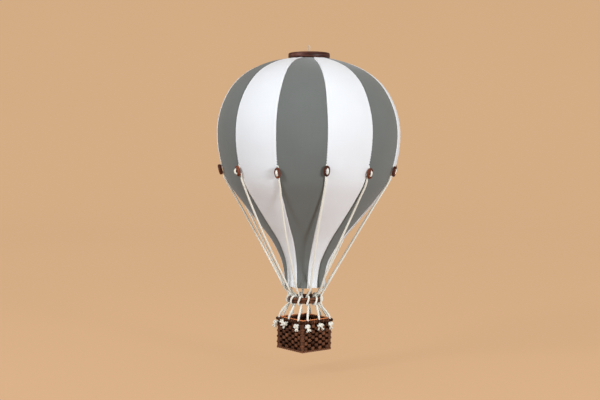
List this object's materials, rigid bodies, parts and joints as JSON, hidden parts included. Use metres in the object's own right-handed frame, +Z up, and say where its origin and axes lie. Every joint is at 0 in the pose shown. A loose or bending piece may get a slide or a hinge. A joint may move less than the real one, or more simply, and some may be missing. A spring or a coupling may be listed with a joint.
{
  "type": "decorative hanging hot air balloon",
  "caption": "Hanging decorative hot air balloon: striped cloth envelope under a wooden disc, with cotton ropes through wooden toggles and round a cane hoop to a square wicker basket.",
  "frame": {"origin": "under the crown of the hanging loop, on the axis of the top disc, where a line or hook bears", "axes": "+Z up; the basket's sides face X and Y, and the seams lie at multiples of 30 degrees from +X"},
  "size_m": [0.315, 0.3162, 0.513],
  "materials": {
    "grey_cloth": "plain woven cotton, matt",
    "white_cloth": "plain woven cotton, matt",
    "disc_wood": "dark stained, satin varnish",
    "toggle_wood": "red brown stained, satin varnish",
    "cotton_rope": "twisted cotton, matt",
    "hanging_thread": "fine twisted thread",
    "hoop_cane": "dark stained cane, satin",
    "wicker": "dark stained woven wicker, satin"
  },
  "bodies": {
    "root": {"envelope_gore_grey_01": "grey_cloth", "envelope_gore_white_02": "white_cloth", "envelope_gore_grey_03": "grey_cloth", "envelope_gore_white_04": "white_cloth", "envelope_gore_grey_05": "grey_cloth", "envelope_gore_white_06": "white_cloth", "envelope_gore_grey_07": "grey_cloth", "envelope_gore_white_08": "white_cloth", "envelope_gore_grey_09": "grey_cloth", "envelope_gore_white_10": "white_cloth", "envelope_gore_grey_11": "grey_cloth", "envelope_gore_white_12": "white_cloth", "top_disc": "disc_wood", "hanging_loop": "hanging_thread", "seam_toggle_01": "toggle_wood", "seam_toggle_02": "toggle_wood", "seam_toggle_03": "toggle_wood", "seam_toggle_04": "toggle_wood", "seam_toggle_05": "toggle_wood", "seam_toggle_06": "toggle_wood", "seam_toggle_07": "toggle_wood", "seam_toggle_08": "toggle_wood", "seam_toggle_09": "toggle_wood", "seam_toggle_10": "toggle_wood", "seam_toggle_11": "toggle_wood", "seam_toggle_12": "toggle_wood", "rope_01": "cotton_rope", "rope_02": "cotton_rope", "rope_03": "cotton_rope", "rope_04": "cotton_rope", "rope_05": "cotton_rope", "rope_06": "cotton_rope", "rope_07": "cotton_rope", "rope_08": "cotton_rope", "rope_09": "cotton_rope", "rope_10": "cotton_rope", "rope_11": "cotton_rope", "rope_12": "cotton_rope", "cane_hoop": "hoop_cane", "basket_rim": "wicker", "basket_wall_1": "wicker", "basket_wall_2": "wicker", "basket_wall_3": "wicker", "basket_wall_4": "wicker", "basket_corner_post_1": "wicker", "basket_corner_post_2": "wicker", "basket_corner_post_3": "wicker", "basket_corner_post_4": "wicker", "basket_floor": "wicker", "basket_base_border": "wicker"}
  },
  "joints": []
}
